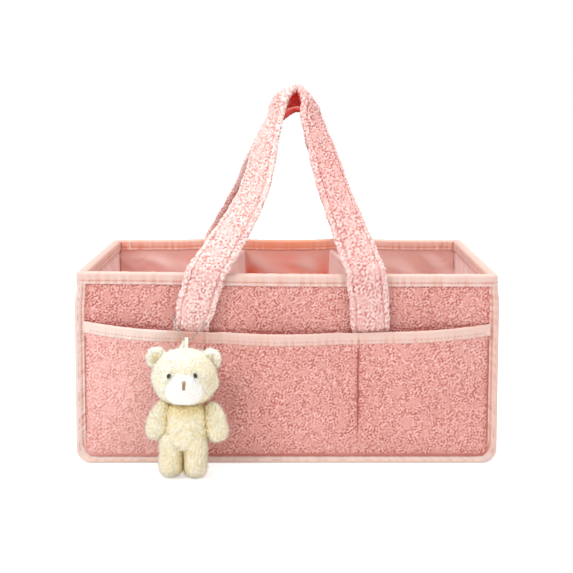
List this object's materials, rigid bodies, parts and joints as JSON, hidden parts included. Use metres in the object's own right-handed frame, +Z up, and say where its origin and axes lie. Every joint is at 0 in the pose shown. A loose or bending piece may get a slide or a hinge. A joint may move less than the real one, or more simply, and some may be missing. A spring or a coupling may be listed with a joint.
{
  "type": "diaper caddy",
  "caption": "Fleece diaper caddy with bound edges, outside pockets, dividers, two carrying handles and a plush bear on a ball chain.",
  "frame": {"origin": "on the floor, under the middle of the tub's base", "axes": "+Z up, +X along the tub's length to the right of a viewer in front, -Y to the front, where the bear hangs"},
  "size_m": [0.38, 0.3337, 0.3432],
  "materials": {
    "fleece": "curly pile",
    "strap_fleece": "curly pile",
    "binding_tape": "woven",
    "lining": "satin",
    "board": "matte",
    "hook_and_loop": "brushed",
    "bear_plush": "short pile",
    "muzzle_plush": "short pile",
    "bead": "gloss",
    "thread": "embroidered",
    "ribbon": "satin",
    "chain": "polished"
  },
  "bodies": {
    "caddy": {"front_outer_panel": "fleece", "back_outer_panel": "fleece", "left_outer_panel": "fleece", "right_outer_panel": "fleece", "base_outer_panel": "fleece", "front_pocket_panel": "fleece", "back_pocket_panel": "fleece", "front_board": "board", "back_board": "board", "left_board": "board", "right_board": "board", "base_board": "board", "front_lining": "lining", "back_lining": "lining", "left_lining": "lining", "right_lining": "lining", "base_lining": "lining", "front_rim_tape": "binding_tape", "back_rim_tape": "binding_tape", "left_rim_tape": "binding_tape", "right_rim_tape": "binding_tape", "front_edge_tape": "binding_tape", "back_edge_tape": "binding_tape", "front_pocket_tape": "binding_tape", "back_pocket_tape": "binding_tape", "front_handle_left_end": "strap_fleece", "front_handle_right_end": "strap_fleece", "back_handle_left_end": "strap_fleece", "back_handle_right_end": "strap_fleece", "front_loop_tape": "hook_and_loop", "back_loop_tape": "hook_and_loop"},
    "front_handle": {"front_handle_loop": "strap_fleece"},
    "back_handle": {"back_handle_loop": "strap_fleece"},
    "left_divider_panel": {"left_divider": "lining", "left_divider_front_hook_tape": "hook_and_loop", "left_divider_back_hook_tape": "hook_and_loop"},
    "right_divider_panel": {"right_divider": "lining", "right_divider_front_hook_tape": "hook_and_loop", "right_divider_back_hook_tape": "hook_and_loop"},
    "chain": {"charm_chain": "chain", "charm_chain_coupling": "chain"},
    "bear": {"bear_head": "bear_plush", "bear_torso": "bear_plush", "bear_left_ear": "bear_plush", "bear_right_ear": "bear_plush", "bear_left_arm": "bear_plush", "bear_right_arm": "bear_plush", "bear_left_leg": "bear_plush", "bear_right_leg": "bear_plush", "bear_muzzle": "muzzle_plush", "bear_left_eye": "bead", "bear_right_eye": "bead", "bear_nose": "thread", "charm_ribbon": "ribbon"}
  },
  "joints": [
    {"name": "front_handle_swing", "type": "hinge", "parent": "caddy", "child": "front_handle", "pos_m": [0, -0.1309, 0.1775], "axis": [1, 0, 0], "range_deg": [0, 140]},
    {"name": "back_handle_swing", "type": "hinge", "parent": "caddy", "child": "back_handle", "pos_m": [0, 0.1309, 0.1775], "axis": [-1, 0, 0], "range_deg": [0, 140]},
    {"name": "left_divider_slide", "type": "slide", "parent": "caddy", "child": "left_divider_panel", "axis": [1, 0, 0], "range_m": [-0.1, 0.03]},
    {"name": "right_divider_slide", "type": "slide", "parent": "caddy", "child": "right_divider_panel", "axis": [1, 0, 0], "range_m": [-0.03, 0.1]},
    {"name": "chain_swing", "type": "hinge", "parent": "caddy", "child": "chain", "pos_m": [-0.0887, -0.1318, 0.136], "axis": [0, 1, 0], "range_deg": [-12, 12]},
    {"name": "bear_swing", "type": "hinge", "parent": "chain", "child": "bear", "pos_m": [-0.0887, -0.1494, 0.1205], "axis": [-1, 0, 0], "range_deg": [0, 60]}
  ]
}
